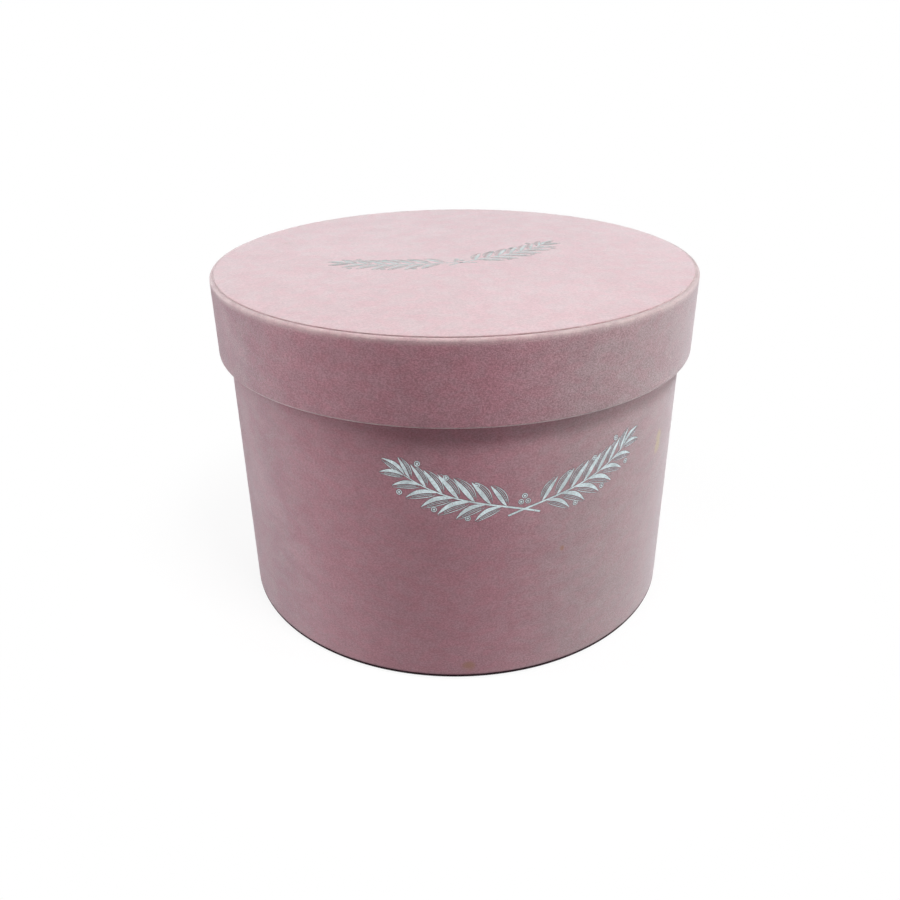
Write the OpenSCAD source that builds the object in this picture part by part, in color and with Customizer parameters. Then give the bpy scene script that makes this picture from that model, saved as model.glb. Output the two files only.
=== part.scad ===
// Round flower box with a lift-off lid.
// Greyboard tube, band and discs, covered outside with velvet paper whose margins are turned
// over the board edges, and lined inside with paper. A welded film cup keeps the well watertight.
// Frame: origin on the table at the box's axis, +Z up, the printed front faces -Y. Millimetres.

/* [Body] */
// Inside diameter of the body's board tube
tube_bore = 186; // [120:1:260]
// Height of the covered rim above the table
rim_h = 139.5; // [110:0.5:220]

/* [Lid] */
// Height of the lid's outside, from the velvet top to the lower edge
lid_depth = 32; // [28:1:60]
// Radial gap between the body's velvet and the lid's lining
lid_clearance = 1.0; // [0.6:0.1:2]
// Gap between the body's rim and the lid's ceiling
lid_seat_gap = 0.3; // [0.3:0.1:1]
// How far the top sheet's edge stays inside the lid's outer edge
top_sheet_inset = 1.8; // [1.5:0.1:4]
// How far the lid is turned on the body, anticlockwise from above
lid_turn = 4.3; // [-20:0.1:20]

/* [Board] */
// Thickness of the board rolled into the tube and the lid's band
wall_board = 2.0; // [1.6:0.1:3]
// Thickness of the board discs in the base and the lid
disc_board = 2.0; // [1.6:0.1:3]
// Rounding of the board edges that the velvet is turned over
edge_round = 0.5; // [0.3:0.1:0.7]
// Width of the butt joint where a rolled strip's ends meet
butt_gap = 0.4; // [0.2:0.1:1]
// Width of the paper tape that holds a butt joint
tape_w = 25; // [15:1:40]
// Thickness of that tape, which is pressed flush into the board
tape = 0.2; // [0.1:0.05:0.3]
// How far the tape's ends stay inside the board's edges
tape_setback = 3; // [2.5:0.5:6]

/* [Velvet paper] */
// Thickness of the velvet paper
velvet = 0.5; // [0.3:0.05:0.8]
// Depth of the body wrap's margin that is turned in over the rim
rim_turn_in = 15; // [8:1:25]
// Depth of the body wrap's margin that is turned under the base
base_turn_under = 12; // [8:1:20]
// Depth of the lid wrap's margin that is turned over its top board
lid_turn_over = 12; // [8:1:20]
// Depth of the lid wrap's margin that is turned in at its lower edge
lid_turn_in = 12; // [8:1:15]
// Number of V notches that let a flat margin lie without creases
notches = 48; // [24:1:60]
// Width of a notch at the margin's free edge
notch_w = 2.4; // [1.6:0.1:3]
// Width of the lap where a wrap's ends overlap at the back
lap_w = 10; // [6:1:20]
// Height that the pressed lap stands proud of the wrap
lap_step = 0.3; // [0.1:0.05:0.4]
// Gap between the lid's turned-over margin and the card that fills in between
infill_gap = 1; // [0.5:0.1:2]

/* [Lining paper] */
// Thickness of the lining paper
lining = 0.25; // [0.15:0.05:0.4]
// Width of the flange that joins a wall lining to its disc
flange = 8; // [6:1:15]
// Distance from a covered edge to the edge of its lining
lining_setback = 4; // [2:0.5:6]
// Length over which a lining steps from the board onto a velvet margin
step_l = 2; // [1:0.5:4]
// Thickness of the paper disc under the base
cover = 0.3; // [0.2:0.05:0.5]
// How far the paper under the base stays inside the velvet
cover_inset = 3.2; // [2:0.1:6]

/* [Watertight film] */
// Thickness of the film cup
film = 0.2; // [0.1:0.05:0.5]
// Height of the film cup's wall above the base board
film_h = 80; // [40:1:80]
// Inside radius of the cup's corner
film_corner = 3; // [2:0.5:4]

/* [Hidden] */
$fn = 180;

// Colours
greyboard = [0.62, 0.58, 0.52];
kraft = [0.72, 0.58, 0.42];
rose = [0.70, 0.50, 0.54];
pale_paper = [0.90, 0.80, 0.80];
film_white = [0.92, 0.94, 0.95, 0.6];

// Radii of the body, from the board outwards and inwards
tube_r = tube_bore / 2;
tube_out = tube_r + wall_board;
body_r = tube_out + velvet;
under_r = body_r - base_turn_under;
cover_r = body_r - cover_inset;

// Heights of the body, from the table up
base_z = cover + velvet;
floor_z = base_z + disc_board;
tube_top = rim_h - velvet;
turn_in_z = rim_h - rim_turn_in;
lining_top = rim_h - lining_setback;

// Radii of the lid, from the body's velvet outwards
lid_bore = body_r + lid_clearance;
band_r = lid_bore + lining + velvet;
band_out = band_r + wall_board;
lid_r = band_out + velvet;
over_r = lid_r - lid_turn_over;
top_sheet_r = lid_r - top_sheet_inset;

// Heights of the lid, from the body's rim up
ceiling_z = rim_h + lid_seat_gap;
lid_board_z = ceiling_z + 2 * lining;
lid_board_top = lid_board_z + disc_board;
ledge_z = lid_board_top + velvet;
lid_top = ledge_z + velvet;
lid_low = lid_top - lid_depth;
lid_board_low = lid_low + velvet;
lid_turn_in_z = lid_low + lid_turn_in;
lid_lining_low = lid_low + lining_setback;

// A lining flange and the disc that covers it
floor_flange_r = tube_r - flange;
ceiling_flange_r = band_r - flange;
ceiling_r = lid_bore - lining;

// Directions of the laps and butt joints: the laps are at the back, and each butt joint is
// kept well round from the lap that covers it
back = 90;
joint_offset = 40;
body_joint = back + joint_offset;
lid_joint = back + lid_turn - joint_offset;

// A notch's tip stays this far behind the edge that hides it
notch_clear = 1.5;
// Rounding of the top sheet's cut edge
top_edge_round = 0.3;
// How far a cutting shape runs past what it cuts
cut = 1;

// Angle at radius r that spans the arc length w
function arc_angle(w, r) = w / r * 180 / PI;

// Points of a closed outline: a path and the same path offset by d, run backwards
function sheet_outline(path, d) =
    concat(path, [for (i = [len(path) - 1:-1:0]) path[i] + d]);

// Rectangle from its lower left to its upper right corner
module slab(low, high) {
    translate(low) square(high - low);
}

// Quarter of a sheet's bend about centre, in the quadrant that towards points into
module bend(centre, inner, thick, towards) {
    outer = inner + thick;
    translate(centre)
        intersection() {
            difference() {
                circle(outer);
                circle(inner);
            }
            translate([min(towards[0], 0), min(towards[1], 0)] * outer) square(outer);
        }
}

// Quarter of a solid rounding about centre
module rounding(centre, r, towards) {
    translate(centre)
        intersection() {
            circle(r);
            translate([min(towards[0], 0), min(towards[1], 0)] * r) square(r);
        }
}

// Board strip from (r0, z0) to (r1, z1) with rounded corners where round_low and round_top say
// [inner, outer]
module strip_profile(r0, r1, z0, z1, round_low, round_top) {
    e = edge_round;
    slab([r0, z0 + e], [r1, z1 - e]);
    slab([r0 + e, z0], [r1 - e, z1]);
    for (side = [0, 1]) {
        r = side == 0 ? r0 + e : r1 - e;
        way = side == 0 ? -1 : 1;
        corner = side == 0 ? r0 : r1 - e;
        if (round_low[side]) rounding([r, z0 + e], e, [way, -1]);
        else slab([corner, z0], [corner + e, z0 + e]);
        if (round_top[side]) rounding([r, z1 - e], e, [way, 1]);
        else slab([corner, z1 - e], [corner + e, z1]);
    }
}

// Slit through a rolled strip from r_in to r_out where its ends butt together
module butt_slit(r_in, r_out, z0, z1, angle) {
    rotate(angle)
        translate([r_in - cut, -butt_gap / 2, z0 - cut])
            cube([r_out - r_in + 2 * cut, butt_gap, z1 - z0 + 2 * cut]);
}

// Tape pressed into a strip's inside face at radius r_in over its butt joint. A larger inward
// makes the cutting shape for the tape's recess.
module tape_patch(r_in, z0, z1, angle, inward = 0) {
    width = arc_angle(tape_w, r_in);
    rotate(angle - width / 2)
        rotate_extrude(angle = width)
            slab([r_in - inward, z0 + tape_setback], [r_in + tape, z1 - tape_setback]);
}

// Ring of V notches in a flat margin whose free edge is at radius r_free
module margin_notches(r_free, r_tip, z0, z1) {
    for (i = [0:notches - 1])
        rotate((i + 0.5) * 360 / notches)
            translate([0, 0, z0 - cut])
                linear_extrude(z1 - z0 + 2 * cut)
                    polygon([
                        [r_free - cut, -notch_w / 2], [r_free, -notch_w / 2],
                        [r_tip, 0],
                        [r_free, notch_w / 2], [r_free - cut, notch_w / 2]
                    ]);
}

// Second thickness of a wrap where its ends overlap
module lap(r, z0, z1, angle) {
    width = arc_angle(lap_w, r);
    rotate(angle - width / 2)
        rotate_extrude(angle = width) slab([r - velvet / 2, z0], [r + lap_step, z1]);
}

// Body ----------------------------------------------------------------------------------------

module body_board() {
    color(greyboard)
        difference() {
            rotate_extrude()
                strip_profile(tube_r, tube_out, base_z, tube_top, [false, true], [true, true]);
            butt_slit(tube_r, tube_out, base_z, tube_top, body_joint);
            tape_patch(tube_r, base_z, tube_top, body_joint, cut);
        }
}

module body_joint_tape() {
    color(kraft) tape_patch(tube_r, base_z, tube_top, body_joint);
}

module base_board() {
    color(greyboard) translate([0, 0, base_z]) cylinder(r = tube_r, h = disc_board);
}

// Velvet outside the tube, turned in over the rim and under the base
module body_wrap_profile() {
    e = edge_round;
    slab([tube_out, base_z + e], [body_r, tube_top - e]);
    bend([tube_out - e, tube_top - e], e, velvet, [1, 1]);
    slab([tube_r + e, tube_top], [tube_out - e, rim_h]);
    bend([tube_r + e, tube_top - e], e, velvet, [-1, 1]);
    slab([tube_r - velvet, turn_in_z], [tube_r, tube_top - e]);
    bend([tube_out - e, base_z + e], e, velvet, [1, -1]);
    slab([under_r, cover], [tube_out - e, base_z]);
}

module body_velvet() {
    bend_r = edge_round + velvet;
    color(rose)
        difference() {
            union() {
                rotate_extrude() body_wrap_profile();
                lap(body_r, cover + bend_r, rim_h - bend_r, back);
            }
            margin_notches(under_r, cover_r - notch_clear, cover, base_z);
        }
}

// Paper under the base: it lies on the velvet margin and dips onto the board inside it
module base_cover() {
    dip = [
        [0, base_z - cover], [under_r - step_l, base_z - cover],
        [under_r, 0], [cover_r, 0]
    ];
    color(pale_paper) rotate_extrude() polygon(sheet_outline(dip, [0, cover]));
}

// Lining of the tube's wall, from a flange on the base board to just below the rim, stepping
// onto the velvet's turned-in margin
module body_lining() {
    wall = [
        [tube_r, floor_z], [tube_r, turn_in_z - step_l],
        [tube_r - velvet, turn_in_z], [tube_r - velvet, lining_top]
    ];
    color(pale_paper)
        rotate_extrude() {
            polygon(sheet_outline(wall, [-lining, 0]));
            slab([floor_flange_r, floor_z], [tube_r, floor_z + lining]);
        }
}

// Paper disc on the floor, over the wall lining's flange
module floor_lining() {
    rise = [
        [0, floor_z], [floor_flange_r - step_l, floor_z],
        [floor_flange_r, floor_z + lining], [tube_r - lining, floor_z + lining]
    ];
    color(pale_paper) rotate_extrude() polygon(sheet_outline(rise, [0, lining]));
}

// Film cup bonded to the lining, as a floor, a rounded corner and a wall
module waterproof_film() {
    wall_r = tube_r - lining;
    corner_out = film_corner + film;
    corner_r = wall_r - corner_out;
    film_z = floor_z + 2 * lining;
    rise = [
        [0, film_z - lining], [floor_flange_r - step_l, film_z - lining],
        [floor_flange_r, film_z], [corner_r, film_z]
    ];
    color(film_white)
        rotate_extrude() {
            polygon(sheet_outline(rise, [0, film]));
            bend([corner_r, film_z + corner_out], film_corner, film, [1, -1]);
            slab([wall_r - film, film_z + corner_out], [wall_r, floor_z + film_h]);
        }
}

// Lid -----------------------------------------------------------------------------------------

module lid_band_board() {
    color(greyboard)
        difference() {
            rotate_extrude()
                strip_profile(band_r, band_out, lid_board_low, lid_board_top, [true, true],
                              [false, true]);
            butt_slit(band_r, band_out, lid_board_low, lid_board_top, lid_joint);
            tape_patch(band_r, lid_board_low, lid_board_top, lid_joint, cut);
        }
}

module lid_joint_tape() {
    color(kraft) tape_patch(band_r, lid_board_low, lid_board_top, lid_joint);
}

module lid_top_board() {
    color(greyboard) translate([0, 0, lid_board_z]) cylinder(r = band_r, h = disc_board);
}

// Velvet outside the band, turned over the top board and in at the lower edge
module lid_wrap_profile() {
    e = edge_round;
    slab([band_out, lid_board_low + e], [lid_r, lid_board_top - e]);
    bend([band_out - e, lid_board_top - e], e, velvet, [1, 1]);
    slab([over_r, lid_board_top], [band_out - e, ledge_z]);
    bend([band_out - e, lid_board_low + e], e, velvet, [1, -1]);
    slab([band_r + e, lid_low], [band_out - e, lid_board_low]);
    bend([band_r + e, lid_board_low + e], e, velvet, [-1, -1]);
    slab([band_r - velvet, lid_board_low + e], [band_r, lid_turn_in_z]);
}

module lid_band_velvet() {
    bend_r = edge_round + velvet;
    color(rose)
        difference() {
            union() {
                rotate_extrude() lid_wrap_profile();
                lap(lid_r, lid_low + bend_r, ledge_z - bend_r, back + lid_turn);
            }
            margin_notches(over_r, top_sheet_r - notch_clear, lid_board_top, ledge_z);
        }
}

// Card that fills in level with the turned-over margin
module lid_infill() {
    color(pale_paper)
        translate([0, 0, lid_board_top]) cylinder(r = over_r - infill_gap, h = velvet);
}

// Round sheet of velvet paper on the lid's top, with its cut edge eased
module lid_top_velvet() {
    e = top_edge_round;
    color(rose)
        rotate_extrude() {
            slab([0, ledge_z], [top_sheet_r - e, lid_top]);
            slab([top_sheet_r - e, ledge_z], [top_sheet_r, lid_top - e]);
            rounding([top_sheet_r - e, lid_top - e], e, [1, 1]);
        }
}

// Lining of the band, from a flange under the top board down over the velvet's turned-in margin
module lid_band_lining() {
    wall = [
        [band_r - velvet, lid_lining_low], [band_r - velvet, lid_turn_in_z],
        [band_r, lid_turn_in_z + step_l], [band_r, lid_board_z]
    ];
    color(pale_paper)
        rotate_extrude() {
            polygon(sheet_outline(wall, [-lining, 0]));
            slab([ceiling_flange_r, lid_board_z - lining], [band_r, lid_board_z]);
        }
}

// Paper disc under the top board, over the band lining's flange
module lid_ceiling_lining() {
    low = lid_board_z - lining;
    drop = [
        [0, low], [ceiling_flange_r - step_l, low],
        [ceiling_flange_r, low - lining], [ceiling_r, low - lining]
    ];
    color(pale_paper) rotate_extrude() polygon(sheet_outline(drop, [0, lining]));
}

body_board();
body_joint_tape();
base_board();
body_velvet();
base_cover();
body_lining();
floor_lining();
waterproof_film();
lid_band_board();
lid_joint_tape();
lid_top_board();
lid_band_velvet();
lid_infill();
lid_top_velvet();
lid_band_lining();
lid_ceiling_lining();
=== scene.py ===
"""Round flower box in rose velvet paper: coverings, linings, foil garlands and a small studio.

The coverings are revolved from closed profiles and replace the plain ones of the frame. The
board, paper and film pieces keep their shape and get their finish here.
"""

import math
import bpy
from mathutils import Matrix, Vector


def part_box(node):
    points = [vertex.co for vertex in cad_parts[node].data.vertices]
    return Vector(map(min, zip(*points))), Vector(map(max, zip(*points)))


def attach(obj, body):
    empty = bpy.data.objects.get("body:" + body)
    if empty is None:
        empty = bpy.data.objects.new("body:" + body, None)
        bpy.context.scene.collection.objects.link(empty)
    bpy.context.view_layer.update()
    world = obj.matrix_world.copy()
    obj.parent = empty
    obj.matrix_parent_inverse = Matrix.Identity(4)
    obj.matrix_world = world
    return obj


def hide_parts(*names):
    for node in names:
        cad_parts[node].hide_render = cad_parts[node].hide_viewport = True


bl_info = {
    "name": "Velvet Flower Box",
    "version": (1, 0, 0),
    "blender": (4, 5, 0),
    "location": "View3D > Sidebar > Flower Box",
    "description": "Dresses a round flower box with velvet coverings, linings and foil garlands",
    "category": "Object",
}

import bmesh
import bpy
from bpy.props import FloatProperty, FloatVectorProperty, IntProperty, PointerProperty
from mathutils import Euler, Matrix, Vector

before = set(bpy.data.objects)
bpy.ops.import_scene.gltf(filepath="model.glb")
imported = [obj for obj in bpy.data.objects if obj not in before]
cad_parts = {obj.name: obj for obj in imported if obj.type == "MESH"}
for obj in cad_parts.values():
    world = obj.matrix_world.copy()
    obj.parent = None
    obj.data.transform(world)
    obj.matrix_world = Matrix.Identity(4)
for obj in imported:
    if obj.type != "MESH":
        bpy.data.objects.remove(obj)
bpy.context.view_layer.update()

MM = 0.001

# Rounds are cut fine enough that no facet shows on the outline
AROUND = 360
FOLD_STEPS = 6
INNER_STEPS = 2
EDGE_STEPS = 4
WALL_ROW = 6 * MM
SHEET_ROWS = 12
SHARP = math.radians(35)

# Notches round the margin that is turned under the base
NOTCHES = 48.0

# Corners nearer than this are one corner: on a revolved piece, on a cut and on a flat layer
JOIN_ROUND = 1e-6
JOIN_CUT = 1e-7
JOIN_FLAT = 2e-6
# Leeway where heights and angles are compared
LEEWAY = 1e-6


# Sizes of the frame's pieces ------------------------------------------------------------------

def radius_of(node):
    """Radius of a round piece about the box's axis, read along +X, clear of the laps."""
    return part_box(node)[1][0]


def low_of(node):
    """Height of a piece's lowest point."""
    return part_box(node)[0][2]


def top_of(node):
    """Height of a piece's highest point."""
    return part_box(node)[1][2]


BODY_R = radius_of("body_velvet")
TUBE_OUT = radius_of("body_board")
TUBE_R = radius_of("base_board")
BODY_LOW = low_of("body_velvet")
RIM = top_of("body_velvet")

LID_R = radius_of("lid_band_velvet")
BAND_OUT = radius_of("lid_band_board")
BAND_R = radius_of("lid_top_board")
LID_LOW = low_of("lid_band_velvet")
LEDGE = top_of("lid_band_velvet")
SHEET_R = radius_of("lid_top_velvet")
LID_TOP = top_of("lid_top_velvet")

VELVET = BODY_R - TUBE_OUT


# Settings -------------------------------------------------------------------------------------

def length(name, description, default):
    """A length property, in metres."""
    return FloatProperty(
        name=name, description=description, default=default, min=0.0, unit="LENGTH"
    )


def turn(name, description, degrees):
    """An angle property, given in degrees."""
    return FloatProperty(
        name=name, description=description, default=math.radians(degrees), unit="ROTATION"
    )


def tint(name, description, default):
    """A colour property, in linear light."""
    return FloatVectorProperty(
        name=name, description=description, default=default, size=3, min=0.0, max=1.0,
        subtype="COLOR",
    )


def power(name, lamp, watts):
    """The power of a lamp."""
    return FloatProperty(name=name, description=lamp + ", in watts", default=watts, min=0.0)


class FlowerBoxCovering(bpy.types.PropertyGroup):
    """How the velvet paper is wrapped round the boards."""

    fold: length("Fold", "Rounding of the velvet where it turns over an edge", 1.0 * MM)
    rim_turn_in: length("Rim turn-in", "Depth of the margin turned in over the rim", 15 * MM)
    turn_under: length("Turn-under", "Width of the margin turned under the base", 12 * MM)
    turn_over: length("Turn-over", "Width of the margin turned over the lid's board", 12 * MM)
    lid_turn_in: length("Lid turn-in", "Depth of the margin turned in at the lid's edge", 12 * MM)
    # Height of the painted contact shadow along the fold that the box stands on
    painted_shadow_height: length("Soiled edge", "Height of the dirty edge that the box stands on", 1.65 * MM)
    lap_width: length("Lap width", "Width of the lap where a wrap's ends meet", 10 * MM)
    lap_step: length("Lap step", "Height that the lap stands proud of the wrap", 0.3 * MM)
    lap_ease: length("Lap ease", "Width of the step at each side of the lap", 0.25 * MM)
    lap_at: turn("Lap", "Direction of the body's lap, from +X", 90)
    lid_turn: turn("Lid turn", "How far the lid is turned on the body", 4.3)
    sheet_round: length("Sheet edge", "Rounding of the top sheet's cut edge", 0.25 * MM)


class FlowerBoxGarland(bpy.types.PropertyGroup):
    """The leaf garland stamped in foil on the front and on the lid."""

    width: length("Width", "From leaf tip to leaf tip", 106 * MM)
    rise: length("Rise", "How far the ends of the stems rise above the middle", 15 * MM)
    cross: FloatProperty(
        name="Cross", description="Slope of the stems where they cross", default=0.3
    )
    height: length("Height", "Height of the garland's middle on the front", 76 * MM)
    lid_offset: length("Lid offset", "How far the lid's garland lies in front of the axis", 9 * MM)
    leaf: length("Leaf length", "Length of the longest leaf", 12.5 * MM)
    leaf_width: length("Leaf width", "Width of the longest leaf", 3.9 * MM)
    vein: length("Vein", "Bare line between the halves of a leaf", 0.32 * MM)
    stem: length("Stem", "Width of a stem where it starts", 0.75 * MM)
    berry: length("Berry", "Diameter of a berry", 2.1 * MM)
    line: length("Line", "Width of the finest lines", 0.3 * MM)
    foil: length("Foil", "How far the foil stands proud of the nap", 0.04 * MM)
    sunk: length("Sunk", "How far the foil's underside is pressed into the nap", 0.03 * MM)
    # The ring of flattened nap round the foil also carries painted shade of its pressed-in edge
    pressed: length("Pressed rim", "Width of the flattened nap round the foil", 0.16 * MM)
    pairs: IntProperty(name="Pairs", description="Leaf pairs on each stem", default=7, min=2)


class FlowerBoxColours(bpy.types.PropertyGroup):
    """Colours of the finishes."""

    rose: tint("Rose", "Velvet with its nap upright", (0.319, 0.172, 0.203))
    rose_grey: tint("Grey rose", "Velvet where its nap leans away", (0.313, 0.204, 0.223))
    rose_pale: tint("Pale rose", "Velvet with its nap brushed flat", (0.367, 0.232, 0.262))
    # Painted light: the front tone is lighter and pinker for the light on the front, the side tone
    # greyer as painted sheen on the right side
    painted_front_light: tint("Front rose", "Velvet rubbed down at the front", (0.411, 0.197, 0.235))
    painted_side_sheen: tint("Side rose", "Velvet rubbed down at the right side", (0.335, 0.238, 0.246))
    # The top sheet's tones are the walls' velvet made paler: painted sheen and light from above
    top: tint("Lid top", "Velvet of the top sheet", (0.549, 0.373, 0.396))
    top_grey: tint("Grey lid top", "Top sheet where its nap leans away", (0.539, 0.394, 0.407))
    top_pale: tint("Pale lid top", "Top sheet with its nap brushed flat", (0.580, 0.425, 0.444))
    top_shade: tint("Shaded lid top", "Top sheet where its nap is ruffled", (0.522, 0.348, 0.363))
    # Pressed nap is darkened as painted shade of the stamped edge; the lid's copy is lighter,
    # painted light on the top
    pressed: tint("Pressed nap", "Velvet flattened by the stamp", (0.17, 0.10, 0.115))
    pressed_top: tint("Pressed lid top", "Top sheet flattened by the stamp", (0.40, 0.29, 0.30))
    # Also paints the highlight along the lid's folds
    worn: tint("Worn fold", "Velvet rubbed down to its paper", (0.66, 0.545, 0.53))
    # Also paints the shade in the step at the top sheet's edge
    cut: tint("Cut edge", "Cut edge of the top sheet", (0.30, 0.20, 0.19))
    # Painted contact shadow on the fold the box stands on, and painted shade just above it
    painted_base_shadow: tint("Soil", "Dirt on the fold that the box stands on", (0.03, 0.015, 0.02))
    stain: tint("Stain", "Small water stains", (0.33, 0.17, 0.115))
    drip: tint("Drip", "Dried drip of plant sap", (0.42, 0.33, 0.15))
    sheen: tint("Sheen", "Tint of the nap's sheen", (0.96, 0.96, 1.0))
    foil: tint("Foil", "Silver foil", (0.50, 0.58, 0.60))
    # A darker copy of the silver for the lid: painted shade
    foil_shaded: tint("Rubbed foil", "Silver foil dulled by rubbing", (0.34, 0.44, 0.44))
    lining: tint("Lining", "Lining paper", (0.74, 0.58, 0.58))
    board: tint("Greyboard", "Greyboard", (0.33, 0.29, 0.24))
    kraft: tint("Kraft", "Kraft paper tape", (0.45, 0.28, 0.14))
    film: tint("Film", "Watertight film over the lining", (0.72, 0.60, 0.61))
    floor: tint("Floor", "Studio floor", (0.92, 0.92, 0.92))
    bounce: tint("Bounce", "Light that the floor gives back to the box", (0.45, 0.45, 0.45))


class FlowerBoxStudio(bpy.types.PropertyGroup):
    """Camera and light."""

    lens: FloatProperty(name="Lens", description="Focal length", default=34.2, unit="CAMERA")
    camera: FloatVectorProperty(
        name="Camera", description="Place of the camera", size=3,
        default=(-0.0915, -0.3436, 0.2349), subtype="TRANSLATION",
    )
    pitch: turn("Pitch", "How far the camera looks down", 27.14)
    yaw: turn("Yaw", "How far the camera is turned about Z", -14.5)
    roll: turn("Roll", "How far the camera is rolled", -0.64)
    key: power("Key", "The main lamp, above to the right", 6.0)
    fill: power("Fill", "The second lamp, above to the left", 1.4)
    right: power("Right", "The right strip", 4.2)
    left: power("Left", "The left strip", 5.2)
    back: power("Back", "The softbox behind", 1.8)
    ambient: FloatProperty(name="Ambient", description="Strength of the room's light", default=0.06)


class FlowerBoxSettings(bpy.types.PropertyGroup):
    """All settings of the flower box."""

    covering: PointerProperty(type=FlowerBoxCovering)
    garland: PointerProperty(type=FlowerBoxGarland)
    colours: PointerProperty(type=FlowerBoxColours)
    studio: PointerProperty(type=FlowerBoxStudio)


# Materials ------------------------------------------------------------------------------------

class Finish:
    """Builds one node material, with patterns measured in metres on the piece."""

    def __init__(self, name):
        self.material = bpy.data.materials.new(name)
        self.material.use_nodes = True
        self.nodes = self.material.node_tree.nodes
        self.links = self.material.node_tree.links
        self.nodes.clear()
        self.output = self.nodes.new("ShaderNodeOutputMaterial")
        self.surface = self.nodes.new("ShaderNodeBsdfPrincipled")
        self.links.new(self.surface.outputs["BSDF"], self.output.inputs["Surface"])
        self.place = self.nodes.new("ShaderNodeTexCoord").outputs["Object"]

    def plug(self, value, socket):
        """Links value to socket where it is a socket, and sets it otherwise."""
        if isinstance(value, bpy.types.NodeSocket):
            self.links.new(value, socket)
        elif hasattr(socket.default_value, "__len__") and len(socket.default_value) == 4:
            socket.default_value = (*value, 1.0)
        else:
            socket.default_value = value

    def math(self, operation, first, second=0.0, third=0.0):
        """Result of one math node."""
        node = self.nodes.new("ShaderNodeMath")
        node.operation = operation
        for value, socket in zip((first, second, third), node.inputs):
            self.plug(value, socket)
        return node.outputs[0]

    def axis(self, name):
        """One coordinate of the place: X, Y or Z."""
        node = self.nodes.new("ShaderNodeSeparateXYZ")
        self.links.new(self.place, node.inputs[0])
        return node.outputs[name]

    def radius(self):
        """Distance from the box's axis."""
        squares = [self.math("POWER", self.axis(name), 2.0) for name in "XY"]
        return self.math("SQRT", self.math("ADD", *squares))

    def angle(self):
        """Direction round the box's axis, from -pi to pi."""
        return self.math("ARCTAN2", self.axis("Y"), self.axis("X"))

    def facing(self, degrees):
        """Cosine between the way out from the axis and a direction, from the front towards +X."""
        out = self.nodes.new("ShaderNodeVectorMath")
        out.operation = "DOT_PRODUCT"
        out.inputs[1].default_value = on_wall(1.0, degrees, 0.0)
        self.links.new(self.place, out.inputs[0])
        return self.math("DIVIDE", out.outputs["Value"], self.radius())

    def noise(self, size, detail=2.0, roughness=0.5, distortion=0.0, stretch=(1, 1, 1), turned=0.0):
        """Noise with features of about size, longer where stretch is over 1."""
        mapping = self.nodes.new("ShaderNodeMapping")
        mapping.inputs["Rotation"].default_value = (0.0, 0.0, turned)
        mapping.inputs["Scale"].default_value = [1.0 / s for s in stretch]
        self.links.new(self.place, mapping.inputs["Vector"])
        node = self.nodes.new("ShaderNodeTexNoise")
        node.inputs["Scale"].default_value = 1.0 / size
        node.inputs["Detail"].default_value = detail
        node.inputs["Roughness"].default_value = roughness
        node.inputs["Distortion"].default_value = distortion
        self.links.new(mapping.outputs["Vector"], node.inputs["Vector"])
        return node.outputs["Fac"]

    def ramp(self, value, start, end, low=0.0, high=1.0):
        """Smooth step of value from low at start to high at end."""
        node = self.nodes.new("ShaderNodeMapRange")
        node.interpolation_type = "SMOOTHSTEP"
        names = ("Value", "From Min", "From Max", "To Min", "To Max")
        for name, number in zip(names, (value, start, end, low, high)):
            self.plug(number, node.inputs[name])
        return node.outputs["Result"]

    def blend(self, factor, first, second, how="MIX"):
        """Mix of two colours."""
        node = self.nodes.new("ShaderNodeMix")
        node.data_type = "RGBA"
        node.blend_type = how
        self.plug(factor, node.inputs[0])
        self.plug(first, node.inputs[6])
        self.plug(second, node.inputs[7])
        return node.outputs[2]

    def shaded(self, colour, value, low, high):
        """Colour made darker or lighter as value goes from 0 to 1."""
        level = self.ramp(value, 0.3, 0.7, low, high)
        grey = self.nodes.new("ShaderNodeCombineColor")
        for socket in grey.inputs:
            self.links.new(level, socket)
        return self.blend(1.0, colour, grey.outputs[0], "MULTIPLY")

    def near(self, centre, radius):
        """1 at a point, falling to 0 at an uneven radius from it."""
        gap = self.nodes.new("ShaderNodeVectorMath")
        gap.operation = "DISTANCE"
        gap.inputs[1].default_value = centre
        self.links.new(self.place, gap.inputs[0])
        uneven = self.math("MULTIPLY", self.noise(radius, detail=3.0), radius)
        reach = self.math("ADD", gap.outputs["Value"], uneven)
        return self.ramp(reach, 0.7 * radius, 1.3 * radius, 1.0, 0.0)

    def bump(self, height, distance, strength):
        """Bump of the given height on the surface."""
        node = self.nodes.new("ShaderNodeBump")
        node.inputs["Strength"].default_value = strength
        node.inputs["Distance"].default_value = distance
        self.plug(height, node.inputs["Height"])
        self.links.new(node.outputs["Normal"], self.surface.inputs["Normal"])

    def spot(self, colour, centre, radius, strength, tone):
        """Colour with a small stain of another tone."""
        mask = self.math("MULTIPLY", self.near(centre, radius), strength)
        return self.blend(mask, colour, tone)

    def set(self, **values):
        """Sets or links inputs of the surface, with _ for the spaces of their names."""
        for name, value in values.items():
            self.plug(value, self.surface.inputs[name.replace("_", " ")])


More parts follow.
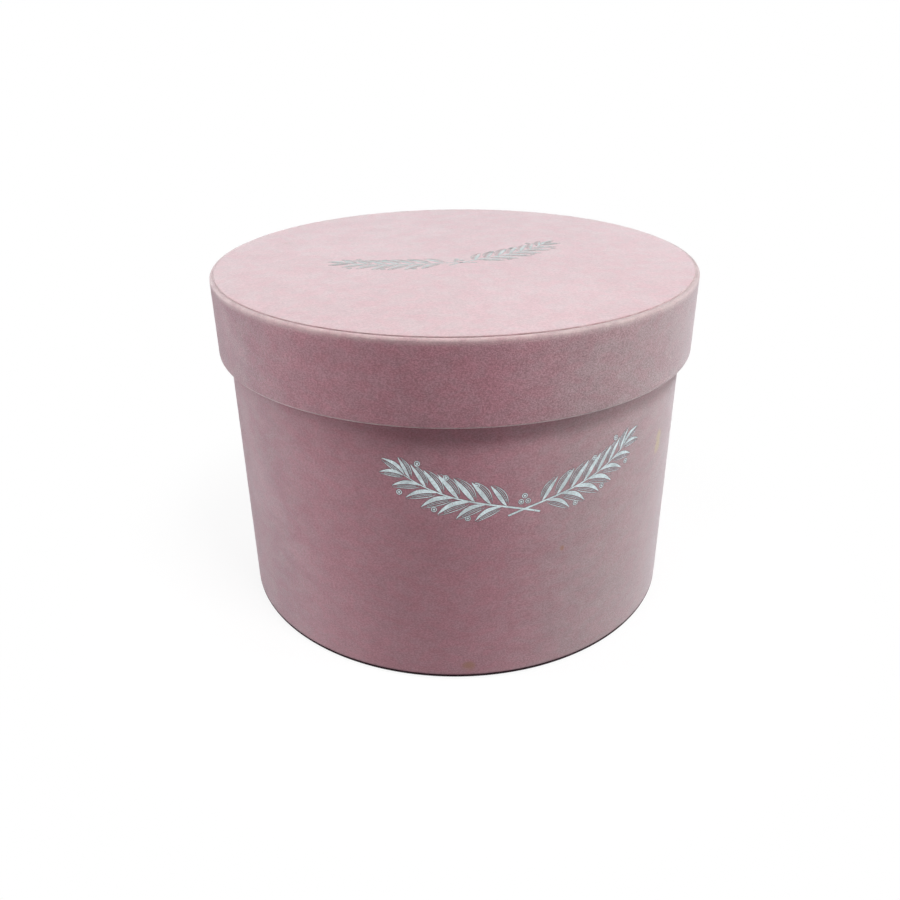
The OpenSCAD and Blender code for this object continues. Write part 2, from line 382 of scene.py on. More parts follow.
def velvet_nap(finish, tones, coarse, brushed, painted_light_tones):
    """Colour and bump of flocked velvet: brushed patches, mottling and a grain of strength coarse.

    painted_light_tones gives painted light: tones that stand in for light and sheen on one side
    of the wall, each with its direction and the cosine at which it starts.
    """
    upright, leaning, flat = tones
    patches = finish.noise(
        24 * MM, detail=3.0, roughness=0.55, distortion=0.8, stretch=(1.6, 1.6, 1.0), turned=brushed
    )
    mottle = finish.noise(6 * MM, distortion=0.4, stretch=(1.5, 1.5, 1.0))
    grain = finish.noise(0.6 * MM, roughness=0.75, stretch=(1.3, 1.3, 0.8))
    fibre = finish.noise(0.3 * MM, detail=1.0)
    colour = finish.blend(finish.ramp(mottle, 0.35, 0.65, 0.0, 0.75), upright, leaning)
    colour = finish.blend(finish.ramp(patches, 0.42, 0.70, 0.0, 0.7), colour, flat)
    # Painted light and sheen: the colour turns towards each tone on the side that faces its
    # direction
    for tone, degrees, start in painted_light_tones:
        lit_share = finish.ramp(finish.facing(degrees), start, 0.98, 0.0, 0.85)
        colour = finish.blend(lit_share, colour, tone)
    flush = finish.noise(4 * MM, detail=1.5, distortion=0.5, stretch=(1.6, 1.6, 0.9))
    tinge = finish.blend(finish.ramp(flush, 0.35, 0.65), (1.02, 0.966, 0.978), (0.98, 1.034, 1.022))
    colour = finish.blend(1.0, colour, tinge, "MULTIPLY")
    colour = finish.shaded(colour, mottle, 1 - 0.2 * coarse, 1 + 0.2 * coarse)
    colour = finish.shaded(colour, grain, 1 - coarse, 1 + coarse)
    height = finish.math("MULTIPLY_ADD", mottle, 0.6, grain)
    height = finish.math("MULTIPLY_ADD", fibre, 0.4, height)
    finish.bump(height, 1.2 * coarse * MM, 0.7)
    return colour


def velvet(name, tones, marks, coarse, brushed=0.0, painted_light_tones=()):
    """Velvet paper. marks is a function that adds a piece's own wear, stains and painted light and
    shade to its colour.
    """
    colours = bpy.context.scene.flower_box.colours
    finish = Finish(name)
    colour = velvet_nap(finish, tones, coarse, brushed, painted_light_tones)
    finish.set(
        Base_Color=marks(finish, colour, colours), Roughness=0.92, Specular_IOR_Level=0.15,
        Sheen_Weight=0.7, Sheen_Roughness=0.42, Sheen_Tint=colours.sheen,
    )
    return finish.material


def wall_velvet(name, marks, coarse, brushed=0.0):
    """Velvet paper of the walls, with painted light on the front and painted sheen on the right
    side.
    """
    colours = bpy.context.scene.flower_box.colours
    tones = (colours.rose, colours.rose_grey, colours.rose_pale)
    painted_light_tones = ((colours.painted_front_light, -24, 0.74), (colours.painted_side_sheen, 52, 0.45))
    return velvet(name, tones, marks, coarse, brushed, painted_light_tones)


def worn(finish, mask, low, high):
    """Uneven wear within a mask."""
    wear = finish.ramp(finish.noise(4 * MM, detail=3.0), 0.3, 0.7, low, high)
    return finish.math("MULTIPLY", mask, wear)


def on_wall(radius, degrees, height):
    """Point on the wall, by its direction from the front towards +X and its height."""
    at = math.radians(degrees)
    return (radius * math.sin(at), -radius * math.cos(at), height)


def body_marks(finish, colour, colours):
    """Rubbed rim, painted shade on the lower edge and small stains of the body's wrap."""
    height = finish.axis("Z")
    rim = finish.ramp(height, RIM - 1.4 * MM, RIM - 0.4 * MM)
    colour = finish.blend(worn(finish, rim, 0.3, 0.6), colour, colours.worn)
    # Painted shade: darker towards the base, above the fold with the painted contact shadow
    painted_base_shade = finish.ramp(height, BODY_LOW + 1.6 * MM, BODY_LOW + 2.6 * MM, 0.3, 0.0)
    colour = finish.blend(painted_base_shade, colour, colours.painted_base_shadow)
    for degrees, at, size, strength, tone in (
        (42.6, 84.4, 4.6, 0.6, colours.drip),
        (42.2, 80.4, 4.6, 0.6, colours.drip),
        (9.6, 55.5, 1.8, 0.8, colours.stain),
        (-12.4, 6.2, 4.2, 0.8, colours.stain),
    ):
        centre = on_wall(BODY_R, degrees, at * MM)
        colour = finish.spot(colour, centre, size * MM, strength, tone)
    return colour


def soiled_fold(name, colours):
    """Painted contact shadow on the fold the box stands on: near black, paler in patches."""
    finish = Finish(name)
    patches = finish.noise(9 * MM, detail=3.0, roughness=0.6)
    crush = finish.noise(0.5 * MM)
    clear = finish.ramp(patches, 0.62, 0.75, 0.0, 0.5)
    colour = finish.blend(clear, colours.painted_base_shadow, colours.pressed)
    # The painted shadow fades towards the sides, so the line stays thin there as seen from the
    # front
    thin = finish.ramp(finish.facing(-18), 0.2, 0.75, 0.6, 0.0)
    colour = finish.blend(thin, colour, colours.rose_grey)
    finish.set(
        Base_Color=finish.shaded(colour, crush, 0.7, 1.3), Roughness=0.95, Specular_IOR_Level=0.1
    )
    finish.bump(crush, 0.1 * MM, 0.5)
    return finish.material


def band_marks(finish, colour, colours):
    """Pale folds of the lid's wrap, wear and painted highlight: wide at the top, thin at the foot.
    """
    height = finish.axis("Z")
    # Wear and painted highlight along both folds
    top = finish.ramp(height, LEDGE - 2.8 * MM, LEDGE - 0.1 * MM)
    low = finish.ramp(height, LID_LOW + 0.2 * MM, LID_LOW + 1.0 * MM, 1.0, 0.0)
    colour = finish.blend(worn(finish, top, 0.35, 0.6), colour, colours.worn)
    return finish.blend(worn(finish, low, 0.3, 0.75), colour, colours.worn)


def sheet_marks(finish, colour, colours):
    """Brush strokes, a speck, a faint stain and the dark cut edge, partly painted shade, of the top
    sheet.
    """
    strokes = finish.noise(
        7 * MM, detail=4.0, roughness=0.65, distortion=1.2, stretch=(1.9, 0.9, 1.0),
        turned=math.radians(25),
    )
    colour = finish.blend(finish.ramp(strokes, 0.5, 0.7, 0.0, 0.35), colour, colours.top_shade)
    for across, deep, size, strength, tone in (
        (26.9, 25.1, 0.7, 0.8, colours.cut),
        (-65.1, 45.7, 4.5, 0.18, colours.stain),
    ):
        centre = (across * MM, deep * MM, LID_TOP)
        colour = finish.spot(colour, centre, size * MM, strength, tone)
    # The dark edge is partly the cut edge's own colour and partly painted shade in the step
    edge = finish.ramp(finish.radius(), SHEET_R - 0.18 * MM, SHEET_R - 0.02 * MM)
    return finish.blend(worn(finish, edge, 0.15, 0.75), colour, colours.cut)


def paper(name, colour, fibre_size, relief, creases=None):
    """Uncoated paper: faint fibres, clouds and a slight tooth."""
    finish = Finish(name)
    clouds = finish.noise(18 * MM, detail=3.0)
    fibres = finish.noise(
        fibre_size, detail=4.0, roughness=0.7, distortion=0.8, stretch=(3.0, 1.0, 1.0),
        turned=math.radians(35),
    )
    tooth = finish.noise(0.5 * MM)
    shade = finish.shaded(finish.shaded(colour, clouds, 0.96, 1.04), fibres, 0.93, 1.05)
    height = finish.math("MULTIPLY_ADD", fibres, 0.7, tooth)
    if creases:
        height = finish.math("ADD", height, creases(finish))
    rough = finish.ramp(tooth, 0.3, 0.7, 0.78, 0.9)
    finish.set(Base_Color=shade, Roughness=rough, Specular_IOR_Level=0.3)
    finish.bump(height, relief, 0.6)
    return finish.material


def margin_creases(finish):
    """Rays where the notched margin under the base shows through its paper."""
    edge = BODY_R - bpy.context.scene.flower_box.covering.turn_under
    rays = finish.math("SINE", finish.math("MULTIPLY", finish.angle(), NOTCHES))
    ring = finish.ramp(finish.radius(), edge - 1 * MM, edge + 1 * MM)
    return finish.math("MULTIPLY", finish.ramp(rays, 0.6, 1.0, 0.0, -2.5), ring)


def greyboard(name, colour):
    """Recycled board: grey felt of fibres with dark and pale flecks."""
    finish = Finish(name)
    fibres = finish.noise(2.2 * MM, detail=5.0, roughness=0.75, distortion=1.0)
    flecks = finish.noise(0.8 * MM)
    shade = finish.shaded(colour, fibres, 0.85, 1.12)
    shade = finish.blend(finish.ramp(flecks, 0.66, 0.72, 0.0, 0.6), shade, (0.12, 0.10, 0.08))
    shade = finish.blend(finish.ramp(flecks, 0.34, 0.28, 0.0, 0.5), shade, (0.55, 0.51, 0.45))
    finish.set(Base_Color=shade, Roughness=0.9)
    finish.bump(finish.math("ADD", fibres, flecks), 0.15 * MM, 0.5)
    return finish.material


def bonded_film(name, colour):
    """Clear film bonded over the lining: its paper, milky, under a soft gloss with ripples."""
    finish = Finish(name)
    ripples = finish.noise(7 * MM, distortion=0.8)
    haze = finish.noise(24 * MM, detail=3.0)
    finish.set(
        Base_Color=finish.shaded(colour, haze, 0.95, 1.05),
        Roughness=finish.ramp(haze, 0.3, 0.7, 0.16, 0.3),
        Coat_Weight=0.6, Coat_Roughness=0.12,
    )
    finish.bump(ripples, 0.5 * MM, 0.35)
    return finish.material


def silver_foil(name, metal, skip_from, bare):
    """Stamped foil: the nap prints through it, and it skips where a noise passes skip_from."""
    finish = Finish(name)
    crinkle = finish.noise(0.7 * MM, detail=3.0, roughness=0.6)
    skips = finish.noise(0.7 * MM, detail=3.0, roughness=0.75)
    tone = finish.noise(4 * MM)
    skip = finish.ramp(skips, skip_from, skip_from + 0.06)
    silver = finish.shaded(finish.shaded(metal, tone, 0.82, 1.12), crinkle, 0.82, 1.2)
    finish.set(
        Base_Color=finish.blend(skip, silver, bare),
        Metallic=finish.math("SUBTRACT", 1.0, skip),
        Roughness=finish.ramp(crinkle, 0.3, 0.7, 0.34, 0.52),
    )
    finish.bump(crinkle, 0.12 * MM, 0.5)
    return finish.material


def pressed_nap(name, colour):
    """Nap flattened by the stamp round the foil, smoother and darker: partly painted shade."""
    finish = Finish(name)
    crush = finish.noise(0.6 * MM, roughness=0.6)
    finish.set(
        Base_Color=finish.shaded(colour, crush, 0.8, 1.25),
        Roughness=finish.ramp(crush, 0.3, 0.7, 0.55, 0.75),
        Specular_IOR_Level=0.25,
    )
    finish.bump(crush, 0.05 * MM, 0.5)
    return finish.material


def dress(node, material):
    """Gives a piece of the frame its finish."""
    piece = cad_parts[node]
    piece.data.materials.clear()
    piece.data.materials.append(material)


# Shapes ---------------------------------------------------------------------------------------

def arc(centre, radius, start, end, steps=FOLD_STEPS):
    """Points on an arc from start to end, in degrees, with both ends."""
    angles = [math.radians(start + (end - start) * i / steps) for i in range(steps + 1)]
    return [(centre[0] + radius * math.cos(a), centre[1] + radius * math.sin(a)) for a in angles]


def revolve(outline):
    """Bmesh of a closed outline of (radius, height) spun round the box's axis."""
    mesh = bmesh.new()
    corners = [mesh.verts.new((r, 0.0, z)) for r, z in outline]
    edges = [mesh.edges.new(pair) for pair in zip(corners, corners[1:])]
    if outline[0][0] > 0.0:
        edges.append(mesh.edges.new((corners[-1], corners[0])))
    bmesh.ops.spin(
        mesh, geom=corners + edges, cent=(0, 0, 0), axis=(0, 0, 1), dvec=(0, 0, 0),
        angle=math.tau, steps=AROUND, use_merge=True, use_duplicate=False,
    )
    bmesh.ops.remove_doubles(mesh, verts=mesh.verts[:], dist=JOIN_ROUND)
    bmesh.ops.recalc_face_normals(mesh, faces=mesh.faces[:])
    return mesh


def raise_lap(mesh, radius, low, high, at, covering):
    """Lifts the strip of wall where the wrap's ends overlap, with a crisp step at each side."""
    half = covering.lap_width / radius / 2
    ease = covering.lap_ease / radius
    middle = Vector((math.cos(at), math.sin(at), 0.0))
    for turned in (-half - ease, -half, half, half + ease):
        line = Matrix.Rotation(turned, 3, "Z") @ middle
        near = [v for v in mesh.verts if v.co.xy.dot(middle.xy) > 0]
        geometry = set(near)
        for vert in near:
            geometry.update(vert.link_edges)
            geometry.update(vert.link_faces)
        bmesh.ops.bisect_plane(
            mesh, geom=list(geometry), dist=JOIN_CUT, plane_co=(0, 0, 0),
            plane_no=(-line.y, line.x, 0.0),
        )
    for vert in mesh.verts:
        flat = vert.co.xy
        if flat.length < radius - 0.1 * MM or flat.dot(middle.xy) < 0:
            continue
        off = abs(middle.xy.angle_signed(flat))
        if off <= half + LEEWAY and low - LEEWAY <= vert.co.z <= high + LEEWAY:
            vert.co.xy = flat * (1 + covering.lap_step / flat.length)


def finish_mesh(mesh, name, materials, body, replaced=()):
    """Turns a bmesh into a shaded piece that rides on a body."""
    for face in mesh.faces:
        face.smooth = True
    for edge in mesh.edges:
        edge.smooth = len(edge.link_faces) == 2 and edge.calc_face_angle(0.0) < SHARP
    data = bpy.data.meshes.new(name)
    mesh.to_mesh(data)
    mesh.free()
    for material in materials:
        data.materials.append(material)
    piece = bpy.data.objects.new(name, data)
    bpy.context.scene.collection.objects.link(piece)
    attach(piece, body)
    if replaced:
        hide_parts(*replaced)


def wall_rows(radius, low, high):
    """Evenly spaced points up a wall, without its two ends."""
    count = round((high - low) / WALL_ROW)
    return [(radius, low + (high - low) * i / count) for i in range(1, count)]


def body_outline(covering):
    """Section of the body's wrap: turned under the base, up the wall, over the rim and in."""
    fold = covering.fold
    inner = fold - VELVET
    under = BODY_R - covering.turn_under
    turned_in = TUBE_R - VELVET
    low = BODY_LOW
    skin = [(under, low)]
    skin += arc((BODY_R - fold, low + fold), fold, -90, 0)
    skin += [(BODY_R, low + covering.painted_shadow_height)]
    skin += wall_rows(BODY_R, low + fold, RIM - fold)
    skin += arc((BODY_R - fold, RIM - fold), fold, 0, 90)
    skin += arc((TUBE_R + inner, RIM - fold), fold, 90, 180)
    skin += [(turned_in, RIM - covering.rim_turn_in), (TUBE_R, RIM - covering.rim_turn_in)]
    skin += arc((TUBE_R + inner, RIM - fold), inner, 180, 90, INNER_STEPS)
    skin += arc((TUBE_OUT - inner, RIM - fold), inner, 90, 0, INNER_STEPS)
    skin += arc((TUBE_OUT - inner, low + fold), inner, 0, -90, INNER_STEPS)
    skin += [(under, low + VELVET)]
    return skin


def band_outline(covering):
    """Section of the lid's wrap: in at the lower edge, up the band and over the top board."""
    fold = covering.fold
    inner = fold - VELVET
    over = LID_R - covering.turn_over
    turned_in = BAND_R - VELVET
    top_in = LID_LOW + covering.lid_turn_in
    skin = [(turned_in, top_in)]
    skin += arc((BAND_R + inner, LID_LOW + fold), fold, 180, 270)
    skin += arc((LID_R - fold, LID_LOW + fold), fold, 270, 360)
    skin += wall_rows(LID_R, LID_LOW + fold, LEDGE - fold)
    skin += arc((LID_R - fold, LEDGE - fold), fold, 0, 90)
    skin += [(over, LEDGE), (over, LEDGE - VELVET)]
    skin += arc((BAND_OUT - inner, LEDGE - fold), inner, 90, 0, INNER_STEPS)
    skin += arc((BAND_OUT - inner, LID_LOW + fold), inner, 0, -90, INNER_STEPS)
    skin += arc((BAND_R + inner, LID_LOW + fold), inner, 270, 180, INNER_STEPS)
    skin += [(BAND_R, top_in)]
    return skin


def sheet_outline(covering):
    """Section of the lid's top sheet, from the axis out and back."""
    ease = covering.sheet_round
    flat = 0.98 * SHEET_R
    skin = [(0.0, LEDGE), (SHEET_R, LEDGE)]
    skin += arc((SHEET_R - ease, LID_TOP - ease), ease, 0, 90, EDGE_STEPS)
    skin += [(flat * i / SHEET_ROWS, LID_TOP) for i in range(SHEET_ROWS, -1, -1)]
    return skin


# Garland --------------------------------------------------------------------------------------

def stem_point(garland, t):
    """Point and direction at t along the right-hand stem, from 0 at the middle to 1 at its tip.

    Below 0 the stem goes on past the middle, where it crosses the other one.
    """
    reach = garland.width / 2 - 0.8 * garland.leaf

    def path(t):
        away = 1 - t
        return Vector((reach * t, reach * garland.cross * t * away * away + garland.rise * t * t))

    return path(t), (path(t + 0.01) - path(t - 0.01)).normalized()


def square_to(along):
    """Direction a quarter turn anticlockwise from along."""
    return Vector((-along.y, along.x))


LEAF_ROWS = 12
ENGRAVED_ROWS = 8
BERRY_ROWS = 20
STEM_ROWS = 40

# Places of the three berries at the middle, in berry widths
MIDDLE_BERRIES = ((-0.62, 1.5), (0.62, 1.5), (0.0, 2.6))


def add_strip(mesh, rows, place):
    """Strip of foil. place gives the point at t from 0 to 1 along it, on side -1 or 1."""
    made = bmesh.ops.create_grid(mesh, x_segments=rows, y_segments=1, size=0.5)
    for vert in made["verts"]:
        flat = place(vert.co.x + 0.5, 1 if vert.co.y > 0 else -1)
        vert.co = (flat.x, flat.y, 0.0)


def add_leaf(mesh, foot, along, size, width, garland, shaded_side):
    """Pointed leaf: one half solid, the other an outline with two engraved lines."""
    across = square_to(along)

    def edge(t, share, side):
        belly = math.sin(math.pi * t ** 0.85) ** 0.8 if 0 < t < 1 else 0.0
        curl = 0.07 * size * math.sin(math.pi * t)
        off = side * (garland.vein / 2 + (width - garland.vein) / 2 * belly * share)
        return foot + along * (t * size) + across * (off + curl)

    def solid_half(t, side):
        return edge(t, 1.0 if side > 0 else 0.0, shaded_side)

    def outline(t, side):
        return edge(t, 1.0 if side > 0 else 1.0 - line_share, -shaded_side)

    line_share = 2 * garland.line / width
    add_strip(mesh, LEAF_ROWS, solid_half)
    add_strip(mesh, LEAF_ROWS, outline)
    for share in (0.08, 0.42):
        def engraved(t, side, share=share):
            reach = share + line_share * (0.5 if side > 0 else -0.1)
            return edge(0.14 + 0.66 * t, reach, -shaded_side)
        add_strip(mesh, ENGRAVED_ROWS, engraved)


def add_berry(mesh, centre, diameter, line):
    """Round berry: a ring with a solid heart."""
    for outer, inner in ((diameter / 2, diameter / 2 - line), (diameter / 2 - 2 * line, 0.0)):
        def ring(t, side, outer=outer, inner=inner):
            radius = outer if side > 0 else inner
            return centre + radius * Vector((math.cos(math.tau * t), math.sin(math.tau * t)))
        add_strip(mesh, BERRY_ROWS, ring)


def add_stem(mesh, garland, start, end):
    """Tapering stem between two points along the curve."""
    def stem(t, side):
        t = start + (end - start) * t
        point, along = stem_point(garland, t)
        return point + square_to(along) * side * garland.stem / 2 * (1 - 0.55 * max(t, 0.0))
    add_strip(mesh, STEM_ROWS, stem)


def add_sprig(mesh, garland):
    """Right-hand stem with its leaves, berries and tip."""
    add_stem(mesh, garland, -0.14, 1.0)
    for pair in range(garland.pairs):
        t = 0.14 + 0.80 * pair / (garland.pairs - 1)
        size = garland.leaf * (1 - 0.28 * abs(2 * t - 0.9) ** 1.5)
        for side, stagger in ((1, 0.0), (-1, 0.045)):
            foot, along = stem_point(garland, t + stagger)
            direction = Matrix.Rotation(math.radians(side * (44 - 14 * t)), 2) @ along
            start = foot + direction * garland.stem
            width = garland.leaf_width * size / garland.leaf
            add_leaf(mesh, start, direction, size, width, garland, -side)
        if pair and pair % 2 == 0:
            foot, along = stem_point(garland, t - 0.045)
            for side in (1, -1):
                stalk = Matrix.Rotation(math.radians(side * 62), 2) @ along
                add_berry(mesh, foot + stalk * garland.leaf * 0.62, garland.berry, garland.line)
    tip, along = stem_point(garland, 1.0)
    add_leaf(mesh, tip, along, garland.leaf * 0.8, garland.leaf_width * 0.8, garland, 1)


def garland_mesh(garland):
    """Flat garland in the XY plane, centred on its middle, as one layer of foil."""
    mesh = bmesh.new()
    add_sprig(mesh, garland)
    bmesh.ops.mirror(
        mesh, geom=mesh.verts[:] + mesh.edges[:] + mesh.faces[:], axis="X", merge_dist=-1.0
    )
    for place in MIDDLE_BERRIES:
        add_berry(mesh, Vector(place) * garland.berry, garland.berry, garland.line)
    return mesh


def widen(mesh, margin):
    """Lets every shape of a flat layer grow by a margin all round."""
    bmesh.ops.remove_doubles(mesh, verts=mesh.verts[:], dist=JOIN_FLAT)
    ways = {}
    for edge in mesh.edges:
        if edge.is_boundary:
            first, second = edge.verts
            along = (second.co - first.co).normalized()
            out = Vector((along.y, -along.x, 0.0))
            if out.dot(first.co - edge.link_faces[0].calc_center_median()) < 0:
                out.negate()
            for vert in edge.verts:
                ways[vert] = ways.get(vert, Vector()) + out
    for vert, way in ways.items():
        vert.co += way.normalized() * margin


def thicken(mesh, thickness):
    """Gives a flat layer its thickness, upwards from its plane."""
    bmesh.ops.remove_doubles(mesh, verts=mesh.verts[:], dist=JOIN_FLAT)
    bmesh.ops.dissolve_degenerate(mesh, dist=JOIN_FLAT, edges=mesh.edges[:])
    for face in mesh.faces:
        if face.normal.z < 0:
            face.normal_flip()
    flat = mesh.faces[:] + mesh.edges[:]
    raised = bmesh.ops.extrude_face_region(mesh, geom=flat, use_keep_orig=True)["geom"]
    top = [item for item in raised if isinstance(item, bmesh.types.BMVert)]
    bmesh.ops.translate(mesh, vec=(0.0, 0.0, thickness), verts=top)
    bmesh.ops.recalc_face_normals(mesh, faces=mesh.faces[:])


# Operators ------------------------------------------------------------------------------------

class FLOWERBOX_OT_body_covering(bpy.types.Operator):
    """Wrap the body in velvet paper"""

    bl_idname = "flower_box.body_covering"
    bl_label = "Body covering"

    def execute(self, context):
        box = context.scene.flower_box
        covering = box.covering
        mesh = revolve(body_outline(covering))
        raise_lap(mesh, BODY_R, BODY_LOW + covering.fold, RIM - covering.fold,
                  covering.lap_at, covering)
        # Faces of the lowest fold get the painted contact shadow
        painted_shadow_height = BODY_LOW + covering.painted_shadow_height + LEEWAY
        outer = BODY_R - 2 * covering.fold
        for face in mesh.faces:
            if all(v.co.z < painted_shadow_height and v.co.xy.length > outer for v in face.verts):
                face.material_index = 1
        materials = [
            wall_velvet("velvet_body", body_marks, 0.16), soiled_fold("soiled_fold", box.colours)
        ]
        finish_mesh(mesh, "body_wrap", materials, "body", ["body_velvet"])
        return {"FINISHED"}


class FLOWERBOX_OT_lid_covering(bpy.types.Operator):
    """Wrap the lid's band in velvet paper"""

    bl_idname = "flower_box.lid_covering"
    bl_label = "Lid covering"

    def execute(self, context):
        covering = context.scene.flower_box.covering
        mesh = revolve(band_outline(covering))
        raise_lap(mesh, LID_R, LID_LOW + covering.fold, LEDGE - covering.fold,
                  covering.lap_at + covering.lid_turn, covering)
        velvet_band = wall_velvet("velvet_band", band_marks, 0.215, 0.6)
        finish_mesh(mesh, "lid_wrap", [velvet_band], "lid", ["lid_band_velvet"])
        return {"FINISHED"}


class FLOWERBOX_OT_top_sheet(bpy.types.Operator):
    """Lay the round velvet sheet on the lid"""

    bl_idname = "flower_box.top_sheet"
    bl_label = "Top sheet"

    def execute(self, context):
        box = context.scene.flower_box
        mesh = revolve(sheet_outline(box.covering))
        # Paler tones than the walls': painted sheen and light from above
        tones = (box.colours.top, box.colours.top_grey, box.colours.top_pale)
        sheet = velvet("velvet_sheet", tones, sheet_marks, 0.11, 0.9)
        finish_mesh(mesh, "lid_top_sheet", [sheet], "lid", ["lid_top_velvet"])
        return {"FINISHED"}


class FLOWERBOX_OT_foil(bpy.types.Operator):
    """Stamp the foil garlands on the front and on the lid"""

    bl_idname = "flower_box.foil"
    bl_label = "Foil garlands"

    def execute(self, context):
        box = context.scene.flower_box
        garland = box.garland
        foil = silver_foil("silver_foil", box.colours.foil, 0.60, box.colours.rose_pale)
        # The lid's foil is a darker copy of the front's: painted shade
        rubbed = silver_foil("rubbed_foil", box.colours.foil_shaded, 0.52, box.colours.top)
        # The ring round the foil is partly painted shade; on the lid it is a lighter copy, painted
        # light
        nap = pressed_nap("pressed_nap", box.colours.pressed)
        top_nap = pressed_nap("pressed_top", box.colours.pressed_top)
        spin = Matrix.Rotation(box.covering.lid_turn, 4, "Z")
        for name, on_front, on_lid, slot, proud, margin in (
            ("garland", foil, rubbed, "silver_foil", garland.foil, 0.0),
            ("pressed_nap", nap, top_nap, "rose_velvet", garland.foil / 4, garland.pressed),
        ):
            front = garland_mesh(garland)
            top = garland_mesh(garland)
            for layer in (front, top):
                if margin:
                    widen(layer, margin)
                thicken(layer, garland.sunk + proud)
            for vert in front.verts:
                at = vert.co.x / BODY_R
                out = BODY_R - garland.sunk + vert.co.z
                vert.co = (out * math.sin(at), -out * math.cos(at), garland.height + vert.co.y)
            move = Matrix.Translation((0.0, -garland.lid_offset, LID_TOP - garland.sunk))
            bmesh.ops.transform(top, matrix=spin @ move, verts=top.verts[:])
            finish_mesh(front, "front_" + name, [on_front], "body")
            finish_mesh(top, "lid_" + name, [on_lid], "lid")
        return {"FINISHED"}


class FLOWERBOX_OT_boards(bpy.types.Operator):
    """Finish the boards and the tapes over their joints"""

    bl_idname = "flower_box.boards"
    bl_label = "Boards and tapes"

    def execute(self, context):
        colours = context.scene.flower_box.colours
        board = greyboard("greyboard", colours.board)
        tape = paper("kraft_tape", colours.kraft, 1.5 * MM, 0.12 * MM)
        for node in ("body_board", "base_board", "lid_band_board", "lid_top_board"):
            dress(node, board)
        for node in ("body_joint_tape", "lid_joint_tape"):
            dress(node, tape)
        return {"FINISHED"}


class FLOWERBOX_OT_linings(bpy.types.Operator):
    """Finish the linings, the paper under the base and the watertight film"""

    bl_idname = "flower_box.linings"
    bl_label = "Linings and film"

    def execute(self, context):
        colours = context.scene.flower_box.colours
        lining = paper("lining_paper", colours.lining, 2.5 * MM, 0.08 * MM)
        cover = paper("base_paper", colours.lining, 2.5 * MM, 0.12 * MM, margin_creases)
        for node in (
            "body_lining", "floor_lining", "lid_infill", "lid_band_lining", "lid_ceiling_lining"
        ):
            dress(node, lining)
        dress("base_cover", cover)
        dress("waterproof_film", bonded_film("bonded_film", colours.film))
        return {"FINISHED"}


# Studio ---------------------------------------------------------------------------------------

FLOOR_R = 6.0
FLOOR_STEPS = 96
# The floor keeps the shadow up to the first distance from the axis and is white from the second
SHADOW_R, WHITE_R = 0.10, 0.20
# Share of plain white in the floor at the first distance
GLOW = 0.84
SENSOR_MM = 36.0
NEAREST = 0.01

# Name, setting of its power, azimuth, elevation, distance, width and height of each lamp
LAMPS = (
    ("key_lamp", "key", 20, 60, 1.0, 0.3, 0.2),
    ("fill_lamp", "fill", -50, 55, 1.0, 0.3, 0.2),
    ("back_softbox", "back", 165, 45, 0.9, 0.7, 0.4),
    ("right_strip", "right", 64, 18, 0.75, 0.35, 0.7),
    ("left_strip", "left", -105, 14, 0.75, 0.35, 0.6),
)


def seen_directly(nodes, links):
    """1 for camera, glossy and transmission rays, and 0 for the rest."""
    path = nodes.new("ShaderNodeLightPath")
    result = path.outputs["Is Camera Ray"]
    for name in ("Is Glossy Ray", "Is Transmission Ray"):
        either = nodes.new("ShaderNodeMath")
        either.operation = "MAXIMUM"
        links.new(result, either.inputs[0])
        links.new(path.outputs[name], either.inputs[1])
        result = either.outputs[0]
    return result


def room_light(strength):
    """World that looks white and lights the object softly."""
    world = bpy.data.worlds.new("studio_room")
    bpy.context.scene.world = world
    world.use_nodes = True
    nodes, links = world.node_tree.nodes, world.node_tree.links
    nodes.clear()
    soft = nodes.new("ShaderNodeBackground")
    soft.inputs["Strength"].default_value = strength
    white = nodes.new("ShaderNodeBackground")
    mix = nodes.new("ShaderNodeMixShader")
    for background in (soft, white):
        background.inputs["Color"].default_value = (1.0, 1.0, 1.0, 1.0)
    links.new(seen_directly(nodes, links), mix.inputs["Fac"])
    links.new(soft.outputs[0], mix.inputs[1])
    links.new(white.outputs[0], mix.inputs[2])
    links.new(mix.outputs[0], nodes.new("ShaderNodeOutputWorld").inputs["Surface"])


def floor_finish(colours):
    """Pale floor that keeps the shadow near the box and fades to white away from it."""
    finish = Finish("studio_floor")
    nodes, links = finish.nodes, finish.links
    nodes.remove(finish.surface)
    pale, bounce = (nodes.new("ShaderNodeBsdfDiffuse") for _ in range(2))
    pale.inputs["Color"].default_value = (*colours.floor, 1.0)
    bounce.inputs["Color"].default_value = (*colours.bounce, 1.0)
    glow = nodes.new("ShaderNodeEmission")
    shown = nodes.new("ShaderNodeMixShader")
    links.new(finish.ramp(finish.radius(), SHADOW_R, WHITE_R, GLOW, 1.0), shown.inputs["Fac"])
    links.new(pale.outputs[0], shown.inputs[1])
    links.new(glow.outputs[0], shown.inputs[2])
    mix = nodes.new("ShaderNodeMixShader")
    links.new(seen_directly(nodes, links), mix.inputs["Fac"])
    links.new(bounce.outputs[0], mix.inputs[1])
    links.new(shown.outputs[0], mix.inputs[2])
    links.new(mix.outputs[0], finish.output.inputs["Surface"])
    return finish.material


def add_lamp(name, watts, azimuth, elevation, distance, width, height):
    """Area lamp aimed at the middle of the box. azimuth is from the front towards +X."""
    lamp = bpy.data.lights.new(name, "AREA")
    lamp.shape = "RECTANGLE"
    lamp.size = width
    lamp.size_y = height
    lamp.energy = watts
    target = Vector((0.0, 0.0, LID_TOP / 2))
    side, up = math.radians(azimuth), math.radians(elevation)
    way = Vector((math.sin(side) * math.cos(up), -math.cos(side) * math.cos(up), math.sin(up)))
    holder = bpy.data.objects.new(name, lamp)
    holder.location = target + way * distance
    holder.rotation_euler = way.to_track_quat("Z", "Y").to_euler()
    bpy.context.scene.collection.objects.link(holder)


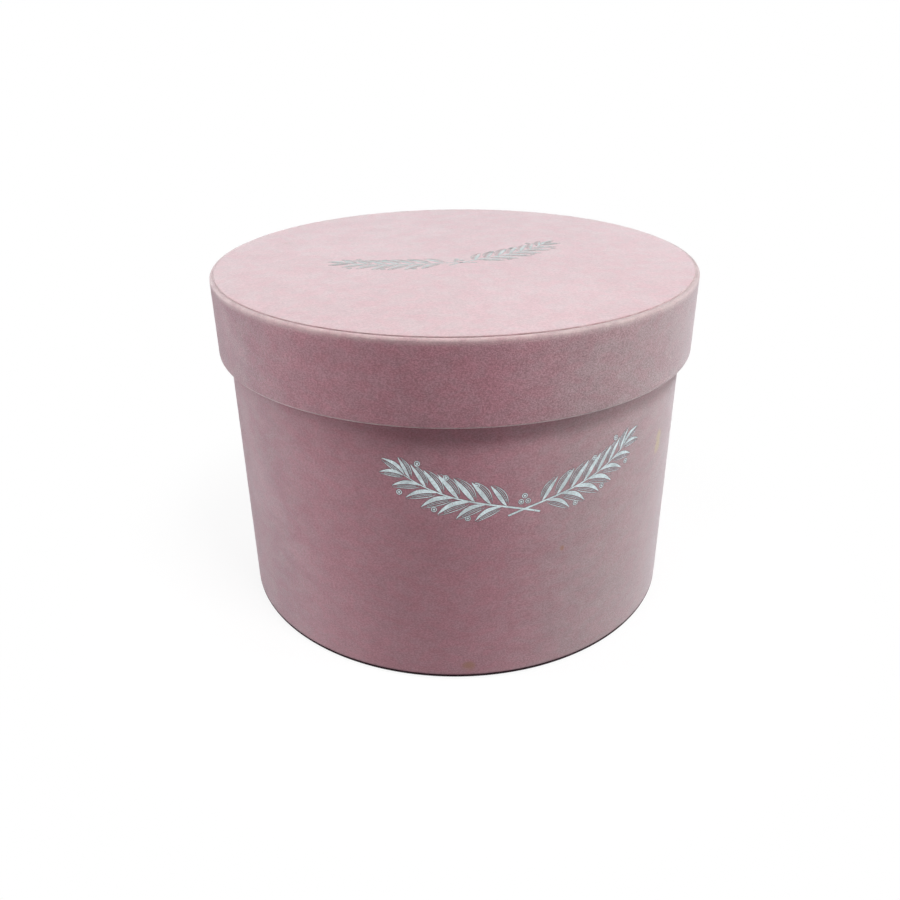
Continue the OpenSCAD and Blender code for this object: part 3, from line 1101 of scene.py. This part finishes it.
class FLOWERBOX_OT_studio(bpy.types.Operator):
    """Set up the floor, the lamps and the camera"""

    bl_idname = "flower_box.studio"
    bl_label = "Studio"

    def execute(self, context):
        box = context.scene.flower_box
        studio = box.studio
        mesh = bmesh.new()
        bmesh.ops.create_circle(mesh, cap_ends=True, segments=FLOOR_STEPS, radius=FLOOR_R)
        data = bpy.data.meshes.new("floor")
        mesh.to_mesh(data)
        mesh.free()
        data.materials.append(floor_finish(box.colours))
        floor = bpy.data.objects.new("floor", data)
        context.scene.collection.objects.link(floor)
        room_light(studio.ambient)
        for name, setting, *place in LAMPS:
            add_lamp(name, getattr(studio, setting), *place)
        lens = bpy.data.cameras.new("camera")
        lens.lens = studio.lens
        lens.sensor_width = SENSOR_MM
        lens.dof.use_dof = False
        lens.clip_start = NEAREST
        camera = bpy.data.objects.new("camera", lens)
        camera.location = studio.camera
        tilt = Euler((math.pi / 2 - studio.pitch, 0.0, studio.yaw)).to_matrix()
        camera.rotation_euler = (tilt @ Matrix.Rotation(studio.roll, 3, "Z")).to_euler()
        context.scene.collection.objects.link(camera)
        context.scene.camera = camera
        context.scene.view_settings.view_transform = "Standard"
        return {"FINISHED"}


class FLOWERBOX_PT_sidebar(bpy.types.Panel):
    """Sidebar panel with the flower box's steps"""

    bl_label = "Flower Box"
    bl_idname = "FLOWERBOX_PT_sidebar"
    bl_space_type = "VIEW_3D"
    bl_region_type = "UI"
    bl_category = "Flower Box"

    def draw(self, context):
        for step in STEPS:
            self.layout.operator(step.bl_idname)


STEPS = (
    FLOWERBOX_OT_studio,
    FLOWERBOX_OT_body_covering,
    FLOWERBOX_OT_lid_covering,
    FLOWERBOX_OT_top_sheet,
    FLOWERBOX_OT_foil,
    FLOWERBOX_OT_boards,
    FLOWERBOX_OT_linings,
)

CLASSES = (
    FlowerBoxCovering,
    FlowerBoxGarland,
    FlowerBoxColours,
    FlowerBoxStudio,
    FlowerBoxSettings,
    *STEPS,
    FLOWERBOX_PT_sidebar,
)


def register():
    """Registers the classes and the scene's settings."""
    for cls in CLASSES:
        bpy.utils.register_class(cls)
    bpy.types.Scene.flower_box = PointerProperty(type=FlowerBoxSettings)


def unregister():
    """Removes the settings and the classes again."""
    del bpy.types.Scene.flower_box
    for cls in reversed(CLASSES):
        bpy.utils.unregister_class(cls)


def main():
    """Builds the dressed flower box in its studio."""
    register()
    bpy.ops.flower_box.studio()
    bpy.ops.flower_box.body_covering()
    bpy.ops.flower_box.lid_covering()
    bpy.ops.flower_box.top_sheet()
    bpy.ops.flower_box.foil()
    bpy.ops.flower_box.boards()
    bpy.ops.flower_box.linings()


if __name__ == "__main__":
    main()
